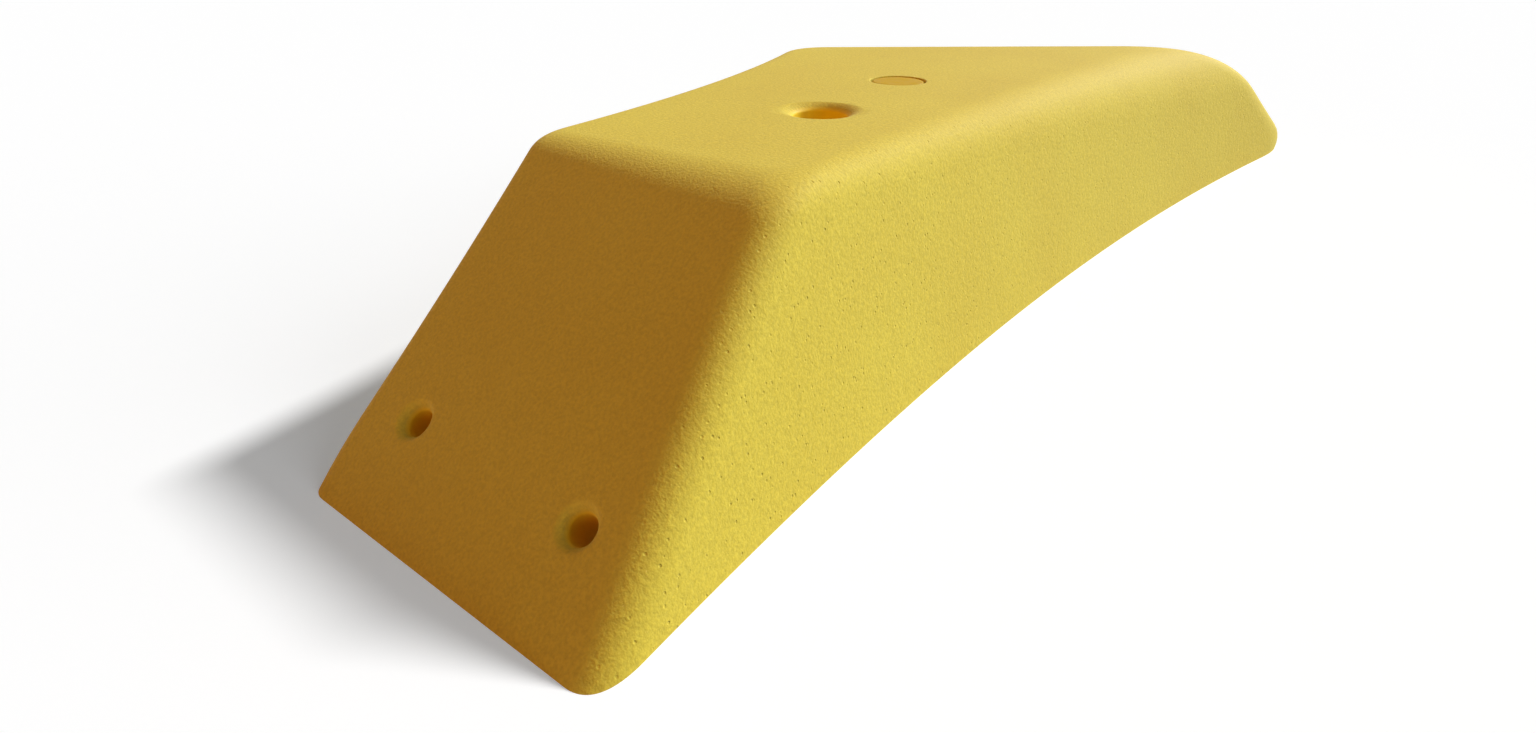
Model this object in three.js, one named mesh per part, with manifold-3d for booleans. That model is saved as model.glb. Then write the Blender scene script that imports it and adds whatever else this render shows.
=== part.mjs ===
// A hollow cast climbing volume: a long flared block with a flat back, a shallow near
// face, two waisted long sides and a rounded far end, fixed by one bolt and four screws.
// Millimetres, +Z out of the wall, the flat back on the plane z = 0.
// The body is worked out about its ridge point, the middle of the near edge of the top
// face, and the whole part is then set down with the middle of its footprint at the origin.

import * as THREE from 'three';
import { mergeVertices } from 'three/addons/utils/BufferGeometryUtils.js';
import Module from 'manifold-3d';

const wasm = await Module();
wasm.setup();

// Foot edges of the four faces: how far each lies from the ridge point, square to the edge
const nearFootReach = 103.5;
const rightFootReach = 90.6;
const farFootReach = 230.5;
const leftFootReach = 49.8;

// Way that each face looks, in degrees about +Z from +X
const nearFacing = 172.6;
const rightFacing = -97.2;
const farFacing = 38;
const leftFacing = 100;

// Steepness of each face above the wall plane, in degrees
const nearSteepness = 38.4;
const rightSteepness = 76.3;
const farSteepness = 58;
const leftSteepness = 89.2;

// Waist of the two long sides: its depth, where it is deepest and half its length
const rightWaistDepth = 16.3;
const rightWaistPlace = 135;
const rightWaistHalfLength = 243;
const leftWaistDepth = 24.3;
const leftWaistPlace = 86.4;
const leftWaistHalfLength = 189;

// Top face: its height at the ridge point, and its fall along +X and along +Y
const ridgeHeight = 69.2;
const fallAlongShare = 0.028;
const fallAcrossShare = 0.0142;

// Blend of the top face's edge, the depth over which two faces melt into each other: at the
// ridge point, its growth along +X and its loss along +Y
const topBlendDepth = 6.05;
const topBlendGrowthShare = 0.0434;
const topBlendLossShare = 0.0442;
const leastBlendDepth = 1;

// Blends of the upright edges between two side faces. Those at the two ends change over
// along the body and grow at the foot, where the near right one shrinks.
const nearRightBlendDepth = 9.3;
const rightFarBlendDepth = 18.2;
const farLeftBlendDepth = 12.5;
const leftNearBlendDepth = 5;
const blendChangeStartPlace = 30;
const blendChangeEndPlace = 216;
const footBlendHeight = 13.3;
const footBlendGrowthShare = 0.72;
const footBlendLossShare = 0.6;

// Hollow back
const wallThickness = 8;
const ribThickness = 6;
const ribSetback = 2;
const farRibPlace = 190;

// Powers by which the dish round a recess deepens towards its bore
const boltLipPowerShare = 2.2;
const screwLipPowerShare = 2;

// Bolt hole: counterbore for the head, seat, shank bore and the post around them
const boltAlong = 61.2;
const boltAcross = -23.1;
const counterboreDiameter = 17.4;
const counterboreSeatHeight = 28;
const counterboreLipWidth = 6.3;
const counterboreLipDepth = 2.4;
const boltBoreDiameter = 11;
const boltPostWall = 8;

// Screw holes, square to the face that they lie in
const screwRecessDiameter = 7.2;
const screwRecessDepth = 13;
const screwLipWidth = 2.6;
const screwLipDepth = 2.4;
const screwBoreDiameter = 4.5;
const screwPostWall = 6;
const nearScrewSetback = { left: 21.4, right: 20.3 };
const nearScrewPlace = { left: 2.2, right: 63.7 };
const farScrewSetback = 17;
const farScrewPlace = { left: -142, right: -262 };

// Steel washers
const boltWasherThickness = 2.5;
const boltWasherBore = 10.5;
const screwWasherThickness = 1.2;
const screwWasherBore = 4.3;

// Round badge let into the top face
const badgeAlong = 124.2;
const badgeAcross = -21.1;
const badgeDiameter = 19;
const badgeThickness = 2;
const badgeEdgeRound = 0.5;
const badgeGroove = 0.8;
const badgeSink = 0.25;

// Gap kept between two pieces that touch, and how far a cut runs past a face
const seatGap = 0.3;
const overrun = 1;

// Fineness of the surfaces
const outerRays = 136;
const innerRays = 56;
const outerRings = { side: 4, blend: 5, top: 5 };
const innerRings = { side: 2, blend: 3, top: 3 };
const profileSamples = 60;
const runSamples = 80;
const cornerSearches = 60;
const leastRaysPerFace = 4;
const halvings = 44;
const roundSides = 48;
const smallSides = 32;
const lipSteps = 5;

const bendShare = 2;
const hubAlongShare = 0.72;
const hubAcrossShare = 0.5;
const weldReach = 0.00001;

// Places that follow from the sizes
const hubAlong = (farFootReach - nearFootReach) * hubAlongShare;
const hubAcross = (leftFootReach - rightFootReach) * hubAcrossShare;
const searchReach = nearFootReach + rightFootReach + farFootReach + leftFootReach;

const radians = THREE.MathUtils.degToRad;

// The four faces, each with its outward way, its tilt and its waist
function makeFace(facing, steepness, reach, waist) {
  const angle = radians(facing);
  const tilt = radians(steepness);
  return {
    outX: Math.cos(angle),
    outY: Math.sin(angle),
    sine: Math.sin(tilt),
    cosine: Math.cos(tilt),
    reach,
    waist,
  };
}

const faces = {
  near: makeFace(nearFacing, nearSteepness, nearFootReach, null),
  right: makeFace(rightFacing, rightSteepness, rightFootReach, {
    depth: rightWaistDepth,
    place: rightWaistPlace,
    half: rightWaistHalfLength,
  }),
  far: makeFace(farFacing, farSteepness, farFootReach, null),
  left: makeFace(leftFacing, leftSteepness, leftFootReach, {
    depth: leftWaistDepth,
    place: -leftWaistPlace,
    half: leftWaistHalfLength,
  }),
};

// Depth of a point outside one face (negative inside the body)
function faceDepth(face, x, y, z) {
  const out = x * face.outX + y * face.outY;
  let reach = face.reach;
  if (face.waist) {
    const along = y * face.outX - x * face.outY;
    const part = (along - face.waist.place) / face.waist.half;
    reach -= face.waist.depth * (1 - part * part);
  }
  return (out - reach) * face.sine + z * face.cosine;
}

function topHeight(x, y) {
  return ridgeHeight - fallAlongShare * x - fallAcrossShare * y;
}

const topLength = Math.hypot(fallAlongShare, fallAcrossShare, 1);

function topDepth(x, y, z) {
  return (z - topHeight(x, y)) / topLength;
}

// Larger of two depths, with a soft change-over where they are nearly alike
function soften(first, second, blend) {
  const near = Math.max(blend - Math.abs(first - second), 0) / blend;
  return Math.max(first, second) + (near * near * blend) / 4;
}

function topBlendAt(x, y) {
  const blend = topBlendDepth + topBlendGrowthShare * x - topBlendLossShare * y;
  return Math.max(blend, leastBlendDepth);
}

// How near a point is to the foot: one on the wall plane, none above the foot's blend
function lowness(z) {
  return Math.max(1 - z / footBlendHeight, 0) ** 2;
}

// Blend of the two upright edges that join the near and right faces to the far and left
function endBlendAt(x, z) {
  const way = (x - blendChangeStartPlace) / (blendChangeEndPlace - blendChangeStartPlace);
  const part = Math.min(Math.max(way, 0), 1);
  const blend = leftNearBlendDepth + (rightFarBlendDepth - leftNearBlendDepth) * part;
  return blend * (1 + footBlendGrowthShare * lowness(z));
}

function nearRightBlendAt(z) {
  return nearRightBlendDepth * (1 - footBlendLossShare * lowness(z));
}

function sideDepth(x, y, z) {
  const [near, right, far, left] = [faces.near, faces.right, faces.far, faces.left].map((face) =>
    faceDepth(face, x, y, z),
  );
  const nearAndRight = soften(near, right, nearRightBlendAt(z));
  const farAndLeft = soften(far, left, farLeftBlendDepth);
  return soften(nearAndRight, farAndLeft, endBlendAt(x, z));
}

function bodyDepth(x, y, z) {
  return soften(topDepth(x, y, z), sideDepth(x, y, z), topBlendAt(x, y));
}

// Which side face a point belongs to, and how far the top face stands from it
function stanceOf(point) {
  let leader = null;
  let depth = -Infinity;
  for (const face of Object.values(faces)) {
    const value = faceDepth(face, point.x, point.y, point.z);
    if (value > depth) {
      depth = value;
      leader = face;
    }
  }
  return { leader, balance: topDepth(point.x, point.y, point.z) - depth };
}

// Where a ray from the hub meets the skin that lies `inset` inside the body
function castRay(hub, way, inset) {
  let low = 0;
  let high = searchReach;
  for (let step = 0; step < halvings; step += 1) {
    const middle = (low + high) / 2;
    const x = hub.x + way.x * middle;
    const y = hub.y + way.y * middle;
    const z = hub.z + way.z * middle;
    if (bodyDepth(x, y, z) + inset < 0) low = middle;
    else high = middle;
  }
  return hub.clone().addScaledVector(way, (low + high) / 2);
}

function wayOf(turn, lift) {
  const flat = Math.cos(lift);
  return new THREE.Vector3(Math.cos(turn) * flat, Math.sin(turn) * flat, Math.sin(lift));
}

// Point of the foot edge, or of the edge of the top face, that a turn about the hub meets
function footPoint(hub, turn, inset) {
  return castRay(hub, wayOf(turn, 0), inset);
}

function brimPoint(hub, turn, inset) {
  let low = 0;
  let high = Math.PI / 2;
  for (let step = 0; step < halvings / 2; step += 1) {
    const middle = (low + high) / 2;
    if (stanceOf(castRay(hub, wayOf(turn, middle), inset)).balance < 0) low = middle;
    else high = middle;
  }
  return castRay(hub, wayOf(turn, low), inset);
}

// Turns at which one face gives way to the next along an edge
function cornerTurns(pointAt) {
  const corners = [];
  const leaderAt = (turn) => stanceOf(pointAt(turn)).leader;
  for (let index = 0; index < cornerSearches; index += 1) {
    let low = (2 * Math.PI * index) / cornerSearches;
    let high = (2 * Math.PI * (index + 1)) / cornerSearches;
    const leader = leaderAt(low);
    const follower = leaderAt(high);
    if (leader === follower) continue;
    for (let step = 0; step < halvings / 2; step += 1) {
      const middle = (low + high) / 2;
      if (leaderAt(middle) === leader) low = middle;
      else high = middle;
    }
    corners.push({ turn: low, from: leader, to: follower });
  }
  return corners;
}

// Evenly spaced points of one edge along one face, with the length of the whole run
function edgeRun(pointAt, corners, face) {
  const first = corners.find((corner) => corner.to === face).turn;
  let last = corners.find((corner) => corner.from === face).turn;
  if (last < first) last += 2 * Math.PI;
  const dense = [];
  for (let index = 0; index <= runSamples * 2; index += 1) {
    dense.push(pointAt(first + ((last - first) * index) / (runSamples * 2)));
  }
  const lengths = runningLengths(dense);
  const total = lengths[lengths.length - 1];
  const points = [];
  for (let index = 0; index <= runSamples; index += 1) {
    points.push(pointAlong(dense, lengths, (total * index) / runSamples));
  }
  return { points, total };
}

function runningLengths(points) {
  const lengths = [0];
  for (let index = 1; index < points.length; index += 1) {
    lengths.push(lengths[index - 1] + points[index].distanceTo(points[index - 1]));
  }
  return lengths;
}

function pointAlong(points, lengths, mark) {
  let cursor = 0;
  while (cursor < lengths.length - 2 && lengths[cursor + 1] < mark) cursor += 1;
  const span = lengths[cursor + 1] - lengths[cursor];
  const part = span > 0 ? Math.min((mark - lengths[cursor]) / span, 1) : 0;
  return points[cursor].clone().lerp(points[cursor + 1], part);
}

// Pairs of foot and brim points, closer together where the edges bend
function rayPairs(hub, inset, count) {
  const footAt = (turn) => footPoint(hub, turn, inset);
  const brimAt = (turn) => brimPoint(hub, turn, inset);
  const footCorners = cornerTurns(footAt);
  const brimCorners = cornerTurns(brimAt);
  const order = [faces.near, faces.right, faces.far, faces.left];
  const runs = order.map((face) => [
    edgeRun(footAt, footCorners, face),
    edgeRun(brimAt, brimCorners, face),
  ]);
  const perimeters = [0, 1].map((level) => runs.reduce((sum, run) => sum + run[level].total, 0));
  const tallies = runs.map((levels) => {
    const tally = [0];
    for (let index = 1; index <= runSamples; index += 1) {
      let weight = 0;
      levels.forEach(({ points }, level) => {
        const going = points[index].clone().sub(points[index - 1]);
        const coming = points[index - 1].clone().sub(points[Math.max(index - 2, 0)]);
        const bend = coming.lengthSq() > 0 ? coming.angleTo(going) / (2 * Math.PI) : 0;
        weight += going.length() / perimeters[level] + bend * bendShare;
      });
      tally.push(tally[index - 1] + weight);
    }
    return tally;
  });
  const whole = tallies.reduce((sum, tally) => sum + tally[runSamples], 0);
  const pairs = [];
  runs.forEach((levels, side) => {
    const tally = tallies[side];
    const rays = Math.max(Math.round((count * tally[runSamples]) / whole), leastRaysPerFace);
    let cursor = 0;
    for (let ray = 0; ray < rays; ray += 1) {
      const mark = (tally[runSamples] * ray) / rays;
      while (tally[cursor + 1] < mark) cursor += 1;
      const part = (mark - tally[cursor]) / (tally[cursor + 1] - tally[cursor]);
      pairs.push(
        levels.map(({ points }) => points[cursor].clone().lerp(points[cursor + 1], part)),
      );
    }
  });
  return pairs;
}

// Points up the side from the foot to the brim and over the top face to the pole
function profileOver(hub, foot, brim, pole, inset, rings) {
  const settle = (guess) => castRay(hub, guess.clone().sub(hub).normalize(), inset);
  const dense = [];
  for (let index = 0; index < profileSamples; index += 1) {
    dense.push(settle(foot.clone().lerp(brim, index / profileSamples)));
  }
  for (let index = 0; index <= profileSamples; index += 1) {
    dense.push(settle(brim.clone().lerp(pole, index / profileSamples)));
  }
  const lengths = runningLengths(dense);
  const soft = dense.map((point) => {
    return Math.abs(stanceOf(point).balance) < topBlendAt(point.x, point.y);
  });
  const total = lengths[lengths.length - 1];
  const start = lengths[Math.max(soft.indexOf(true), 1)];
  const stop = lengths[soft.lastIndexOf(true)];
  const marks = [];
  const spread = (from, to, count) => {
    for (let step = 0; step < count; step += 1) marks.push(from + ((to - from) * step) / count);
  };
  spread(0, start, rings.side);
  spread(start, stop, rings.blend);
  spread(stop, total, rings.top);
  return marks.map((mark) => settle(pointAlong(dense, lengths, mark)));
}

// Closed solid under the skin that lies `inset` inside the body, cut off at `floor`
function skinGeometry(inset, floor, count, rings) {
  const hub = new THREE.Vector3(hubAlong, hubAcross, floor);
  const pole = castRay(hub, new THREE.Vector3(0, 0, 1), inset);
  const profiles = rayPairs(hub, inset, count).map(([foot, brim]) => {
    return profileOver(hub, foot, brim, pole, inset, rings);
  });
  const rays = profiles.length;
  const perRay = profiles[0].length;
  const positions = [];
  profiles.forEach((profile) => profile.forEach((point) => positions.push(...point)));
  positions.push(...pole, ...hub);
  const poleIndex = rays * perRay;
  const hubIndex = poleIndex + 1;
  const indices = [];
  for (let ray = 0; ray < rays; ray += 1) {
    const here = ray * perRay;
    const next = ((ray + 1) % rays) * perRay;
    for (let ring = 0; ring < perRay - 1; ring += 1) {
      indices.push(here + ring, next + ring, next + ring + 1);
      indices.push(here + ring, next + ring + 1, here + ring + 1);
    }
    indices.push(here + perRay - 1, next + perRay - 1, poleIndex);
    indices.push(hubIndex, next, here);
  }
  const geometry = new THREE.BufferGeometry();
  geometry.setAttribute('position', new THREE.Float32BufferAttribute(positions, 3));
  geometry.setIndex(indices);
  return geometry;
}

// Closed mesh to solid and back
function toSolid(geometry) {
  const bare = geometry.clone();
  bare.deleteAttribute('normal');
  bare.deleteAttribute('uv');
  const merged = mergeVertices(bare, weldReach);
  return new wasm.Manifold(
    new wasm.Mesh({
      numProp: 3,
      vertProperties: new Float32Array(merged.attributes.position.array),
      triVerts: new Uint32Array(merged.index.array),
    }),
  );
}

function toGeometry(solid) {
  const mesh = solid.getMesh();
  const geometry = new THREE.BufferGeometry();
  geometry.setAttribute('position', new THREE.BufferAttribute(mesh.vertProperties, 3));
  geometry.setIndex(new THREE.BufferAttribute(mesh.triVerts, 1));
  geometry.computeVertexNormals();
  return geometry;
}

// A turned piece whose profile runs [radius, height] pairs, its axis set along `way` at `foot`
function turned(profile, sides, foot, way) {
  const points = profile.map(([radius, height]) => new THREE.Vector2(radius, height));
  const geometry = new THREE.LatheGeometry(points, sides);
  geometry.rotateX(Math.PI / 2);
  const turn = new THREE.Quaternion().setFromUnitVectors(new THREE.Vector3(0, 0, 1), way);
  geometry.applyQuaternion(turn);
  geometry.translate(foot.x, foot.y, foot.z);
  return geometry;
}

// Solid rod of one radius between two heights on an axis
function rod(radius, low, high, sides, foot, way) {
  return turned([[0, low], [radius, low], [radius, high], [0, high]], sides, foot, way);
}

// Recess with a soft lip: a straight bore that opens in a dish, ever shallower outwards
function recess(radius, floor, surface, lip, sides, foot, way) {
  const profile = [[0, floor], [radius, floor]];
  for (let step = 0; step <= lipSteps; step += 1) {
    const share = 1 - step / lipSteps;
    profile.push([radius + lip.width * (1 - share), surface - lip.depth * share ** lip.power]);
  }
  profile.push([radius + lip.width + overrun, surface + overrun]);
  profile.push([0, surface + overrun]);
  return turned(profile, sides, foot, way);
}

const boltLip = {
  width: counterboreLipWidth,
  depth: counterboreLipDepth,
  power: boltLipPowerShare,
};
const screwLip = { width: screwLipWidth, depth: screwLipDepth, power: screwLipPowerShare };

const up = new THREE.Vector3(0, 0, 1);

// Height of the outer skin above a point of the wall plane
function skinHeight(x, y) {
  let low = 0;
  let high = ridgeHeight * 2;
  for (let step = 0; step < halvings; step += 1) {
    const middle = (low + high) / 2;
    if (bodyDepth(x, y, middle) < 0) low = middle;
    else high = middle;
  }
  return (low + high) / 2;
}

// A screw hole: where its mouth lies on a face, and the way out of it
function screwSeat(face, setback, place) {
  const out = face.reach - setback;
  const x = face.outX * out - face.outY * place;
  const y = face.outY * out + face.outX * place;
  const mouth = new THREE.Vector3(x, y, skinHeight(x, y));
  const way = new THREE.Vector3(face.outX * face.sine, face.outY * face.sine, face.cosine);
  return { mouth, way };
}

const screws = {
  near_left: screwSeat(faces.near, nearScrewSetback.left, nearScrewPlace.left),
  near_right: screwSeat(faces.near, nearScrewSetback.right, nearScrewPlace.right),
  far_left: screwSeat(faces.far, farScrewSetback, farScrewPlace.left),
  far_right: screwSeat(faces.far, farScrewSetback, farScrewPlace.right),
};

const boltFoot = new THREE.Vector3(boltAlong, boltAcross, 0);
const boltMouthHeight = topHeight(boltAlong, boltAcross);
const boltPostRadius = counterboreDiameter / 2 + boltPostWall;

const badgeWay = new THREE.Vector3(fallAlongShare, fallAcrossShare, 1).normalize();
const badgeFoot = new THREE.Vector3(badgeAlong, badgeAcross, topHeight(badgeAlong, badgeAcross));

// Long way through the post of a screw, from its mouth to below the wall plane
function screwRun(screw) {
  return screw.mouth.z / screw.way.z + screwRecessDiameter;
}

function makeHollow() {
  let hollow = toSolid(skinGeometry(wallThickness, -overrun, innerRays, innerRings));
  const postTop = ridgeHeight + overrun;
  hollow = hollow.subtract(
    toSolid(rod(boltPostRadius, -2 * overrun, postTop, roundSides, boltFoot, up)),
  );
  const postRadius = screwRecessDiameter / 2 + screwPostWall;
  for (const screw of Object.values(screws)) {
    hollow = hollow.subtract(
      toSolid(rod(postRadius, -screwRun(screw), 0, smallSides, screw.mouth, screw.way)),
    );
  }
  for (const place of [boltAlong, farRibPlace]) {
    const rib = new THREE.BoxGeometry(ribThickness, searchReach, ridgeHeight);
    rib.translate(place, 0, ribSetback + ridgeHeight / 2);
    hollow = hollow.subtract(toSolid(rib));
  }
  return hollow;
}

function makeBody() {
  let body = toSolid(skinGeometry(0, 0, outerRays, outerRings));
  body = body.subtract(makeHollow());
  body = body.subtract(
    toSolid(
      recess(
        counterboreDiameter / 2,
        counterboreSeatHeight,
        boltMouthHeight,
        boltLip,
        roundSides,
        boltFoot,
        up,
      ),
    ),
  );
  body = body.subtract(
    toSolid(
      rod(
        boltBoreDiameter / 2,
        -overrun,
        counterboreSeatHeight + overrun,
        roundSides,
        boltFoot,
        up,
      ),
    ),
  );
  for (const screw of Object.values(screws)) {
    body = body.subtract(
      toSolid(
        recess(
          screwRecessDiameter / 2,
          -screwRecessDepth,
          0,
          screwLip,
          smallSides,
          screw.mouth,
          screw.way,
        ),
      ),
    );
    body = body.subtract(
      toSolid(
        rod(
          screwBoreDiameter / 2,
          -screwRun(screw),
          overrun - screwRecessDepth,
          smallSides,
          screw.mouth,
          screw.way,
        ),
      ),
    );
  }
  const pocketRadius = badgeDiameter / 2 + badgeGroove;
  const pocketDepth = badgeThickness + badgeSink + seatGap;
  body = body.subtract(
    toSolid(rod(pocketRadius, -pocketDepth, overrun, roundSides, badgeFoot, badgeWay)),
  );
  return toGeometry(body);
}

// Flat ring with its underside at `low` on the axis
function washer(outer, bore, low, thickness, sides, foot, way) {
  const high = low + thickness;
  const profile = [[bore, low], [outer, low], [outer, high], [bore, high], [bore, low]];
  return turned(profile, sides, foot, way);
}

function makeBoltWasher() {
  return washer(
    counterboreDiameter / 2 - seatGap,
    boltWasherBore / 2,
    counterboreSeatHeight + seatGap,
    boltWasherThickness,
    roundSides,
    boltFoot,
    up,
  );
}

function makeScrewWasher(screw) {
  return washer(
    screwRecessDiameter / 2 - seatGap,
    screwWasherBore / 2,
    seatGap - screwRecessDepth,
    screwWasherThickness,
    smallSides,
    screw.mouth,
    screw.way,
  );
}

function makeBadge() {
  const radius = badgeDiameter / 2;
  const high = -badgeSink;
  const low = high - badgeThickness;
  const profile = [
    [0, low],
    [radius, low],
    [radius, high - badgeEdgeRound],
    [radius - badgeEdgeRound, high],
    [0, high],
  ];
  return turned(profile, roundSides, badgeFoot, badgeWay);
}

// Finishes: satin cast polyurethane, the same resin on the badge, and bright steel
const castYellow = { color: 0xd9c053, roughness: 0.62, metalness: 0 };
const badgeYellow = { color: 0xcfb347, roughness: 0.5, metalness: 0 };
const washerSteel = { color: 0xb9bcbf, roughness: 0.35, metalness: 1 };

const part = new THREE.Group();

function addPiece(name, geometry, finish) {
  const closed = geometry.clone();
  closed.deleteAttribute('uv');
  closed.deleteAttribute('normal');
  const merged = mergeVertices(closed, weldReach);
  merged.computeVertexNormals();
  const mesh = new THREE.Mesh(merged, new THREE.MeshStandardMaterial(finish));
  mesh.name = name;
  part.add(mesh);
  return mesh;
}

const body = addPiece('body_shell', makeBody(), castYellow);
addPiece('badge_disc', makeBadge(), badgeYellow);
addPiece('bolt_washer', makeBoltWasher(), washerSteel);
for (const [name, screw] of Object.entries(screws)) {
  addPiece(`screw_washer_${name}`, makeScrewWasher(screw), washerSteel);
}

// Set the middle of the footprint at the origin
body.geometry.computeBoundingBox();
const middle = body.geometry.boundingBox.getCenter(new THREE.Vector3());
part.position.set(-middle.x, -middle.y, 0);

export default part;
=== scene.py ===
"""Looks of the cast climbing volume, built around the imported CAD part.

The hollow casting, the badge and the five steel washers are modelled here as finer pieces
and take the place of their CAD nodes. Sizes are millimetres in the classes and metres in the
meshes, in the same frame as the CAD.
"""

import logging
import math
from dataclasses import dataclass, field
from enum import Enum
from typing import Callable, Dict, List, Optional, Sequence, Tuple, Union

import bmesh
import bpy
import numpy as np
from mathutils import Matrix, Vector


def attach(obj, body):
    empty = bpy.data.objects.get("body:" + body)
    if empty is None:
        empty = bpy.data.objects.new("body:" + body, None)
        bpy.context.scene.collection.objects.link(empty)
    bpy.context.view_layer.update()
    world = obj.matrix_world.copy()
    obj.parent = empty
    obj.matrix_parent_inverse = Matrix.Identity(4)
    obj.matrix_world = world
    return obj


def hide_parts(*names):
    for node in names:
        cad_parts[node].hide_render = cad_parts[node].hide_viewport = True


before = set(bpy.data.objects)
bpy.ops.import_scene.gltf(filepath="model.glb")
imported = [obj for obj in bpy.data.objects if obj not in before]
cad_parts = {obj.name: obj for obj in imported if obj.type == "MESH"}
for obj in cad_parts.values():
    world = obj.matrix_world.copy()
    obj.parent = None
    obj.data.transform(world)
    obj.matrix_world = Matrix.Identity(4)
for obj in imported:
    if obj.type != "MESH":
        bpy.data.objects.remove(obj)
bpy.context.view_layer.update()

log = logging.getLogger("climbing_volume")

MM = 0.001
# Where the ridge point, about which the body is worked out, lies in the part's frame
RIDGE_PLACE = Vector((-137.257, 29.709, 0.0))
UP = Vector((0, 0, 1))
SHARP_ANGLE = math.radians(32)
# Rounds in which a height or a depth is found by halving
HALVINGS = 40
# How far a cutter for a bore stands out below the underside
BORE_PROUD = 3.0
# Least share of its length by which an edge or a normal points along its axis
ALIGNED = 0.9
# Between these lies nearly all of a noise
NOISE_BOUNDS = (0.3, 0.7)
WHITE = (1.0, 1.0, 1.0, 1.0)

Pair = Tuple[float, float]
Triple = Tuple[float, float, float]
Array = np.ndarray
Socket = bpy.types.NodeSocket
Value = Union[float, Tuple[float, ...], Socket]
Numbers = Union[float, Array]


def linear(hex_colour: str) -> Tuple[float, float, float, float]:
    """Turn an sRGB hex colour into Blender's linear colour.

    Args:
        hex_colour: Six hex digits, such as "D9C053".

    Returns:
        Red, green, blue and an alpha of one.
    """
    parts = []
    for start in (0, 2, 4):
        share = int(hex_colour[start:start + 2], 16) / 255
        parts.append(share / 12.92 if share <= 0.04045 else ((share + 0.055) / 1.055) ** 2.4)
    return parts[0], parts[1], parts[2], 1.0


def choose_only(piece: bpy.types.Object) -> None:
    """Deselect everything and make one piece the selected and active object.

    Args:
        piece: The object to work on next.
    """
    if bpy.context.mode != "OBJECT":
        bpy.ops.object.mode_set(mode="OBJECT")
    bpy.ops.object.select_all(action="DESELECT")
    piece.select_set(True)
    bpy.context.view_layer.objects.active = piece


def settle(piece: bpy.types.Object) -> None:
    """Write the piece's place, turn and size into its mesh."""
    choose_only(piece)
    bpy.ops.object.transform_apply(location=True, rotation=True, scale=True)


def get_points(piece: bpy.types.Object) -> Array:
    """Read the piece's vertices.

    Args:
        piece: The object that is read.

    Returns:
        Rows of x, y and z in metres.
    """
    points = np.empty(len(piece.data.vertices) * 3)
    piece.data.vertices.foreach_get("co", points)
    return points.reshape(-1, 3)


def set_points(piece: bpy.types.Object, points: Array) -> None:
    """Move the piece's vertices.

    Args:
        piece: The object that is changed.
        points: Rows of x, y and z in metres.
    """
    piece.data.vertices.foreach_set("co", np.ascontiguousarray(points, dtype=np.float32).ravel())
    piece.data.update()


def apply_modifier(piece: bpy.types.Object, kind: str, **settings: object) -> None:
    """Add one modifier to the piece and apply it.

    Args:
        piece: The object that is changed.
        kind: The modifier's type, as Blender names it.
        settings: The modifier's own values.
    """
    choose_only(piece)
    modifier = piece.modifiers.new(kind.title(), kind)
    for name, value in settings.items():
        setattr(modifier, name, value)
    bpy.ops.object.modifier_apply(modifier=modifier.name)


def join_pieces(pieces: Sequence[bpy.types.Object]) -> bpy.types.Object:
    """Join separate closed pieces into one object.

    Args:
        pieces: The pieces, of which the first takes the others in.

    Returns:
        The first piece.
    """
    choose_only(pieces[0])
    for piece in pieces:
        piece.select_set(True)
    bpy.ops.object.join()
    return pieces[0]


def turn_profile(name: str, profile: Sequence[Pair], steps: int, foot: Vector,
                 way: Vector) -> bpy.types.Object:
    """Turn a closed outline about its axis, as on a lathe.

    Args:
        name: Name of the new object.
        profile: Radius and height of each corner, in millimetres.
        steps: Number of sides round the axis.
        foot: Point of the axis at height zero, in millimetres.
        way: Way that the axis points.

    Returns:
        A closed solid with its place in its mesh.
    """
    bpy.ops.object.select_all(action="DESELECT")
    bpy.ops.mesh.primitive_circle_add(vertices=len(profile), fill_type="NOTHING")
    piece = bpy.context.object
    piece.name = name
    piece.data.name = name
    set_points(piece, np.array([(radius * MM, 0.0, height * MM) for radius, height in profile]))
    bpy.ops.object.mode_set(mode="EDIT")
    bpy.ops.mesh.select_all(action="SELECT")
    bpy.ops.mesh.spin(steps=steps, angle=2 * math.pi, center=(0, 0, 0), axis=(0, 0, 1))
    bpy.ops.mesh.select_all(action="SELECT")
    bpy.ops.mesh.remove_doubles(threshold=0.000002)
    bpy.ops.mesh.delete_loose()
    bpy.ops.mesh.select_all(action="SELECT")
    bpy.ops.mesh.normals_make_consistent(inside=False)
    bpy.ops.object.mode_set(mode="OBJECT")
    piece.rotation_mode = "QUATERNION"
    piece.rotation_quaternion = UP.rotation_difference(way)
    piece.location = foot * MM
    settle(piece)
    return piece


def arc(middle: Pair, radius: float, start: float, stop: float, steps: int) -> List[Pair]:
    """Points of a rounding in a turned outline.

    Args:
        middle: Centre of the rounding, as radius and height.
        radius: Radius of the rounding.
        start: Angle of its first point in degrees, from straight outwards.
        stop: Angle of its last point in degrees.
        steps: Number of straight pieces that it gets.

    Returns:
        The points in order.
    """
    turns = [math.radians(start + (stop - start) * step / steps) for step in range(steps + 1)]
    return [(middle[0] + radius * math.cos(turn), middle[1] + radius * math.sin(turn))
            for turn in turns]


def finish_piece(piece: bpy.types.Object, material: bpy.types.Material,
                 node: str) -> None:
    """Dress a finished piece and put it in its CAD node's place.

    Args:
        piece: The finished object.
        material: Its material.
        node: The CAD node that it stands for.
    """
    piece.data.materials.clear()
    piece.data.materials.append(material)
    choose_only(piece)
    bpy.ops.object.shade_smooth_by_angle(angle=SHARP_ANGLE)
    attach(piece, "root")
    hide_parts(node)
    log.info("%s: %d faces", piece.name, len(piece.data.polygons))


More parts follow.
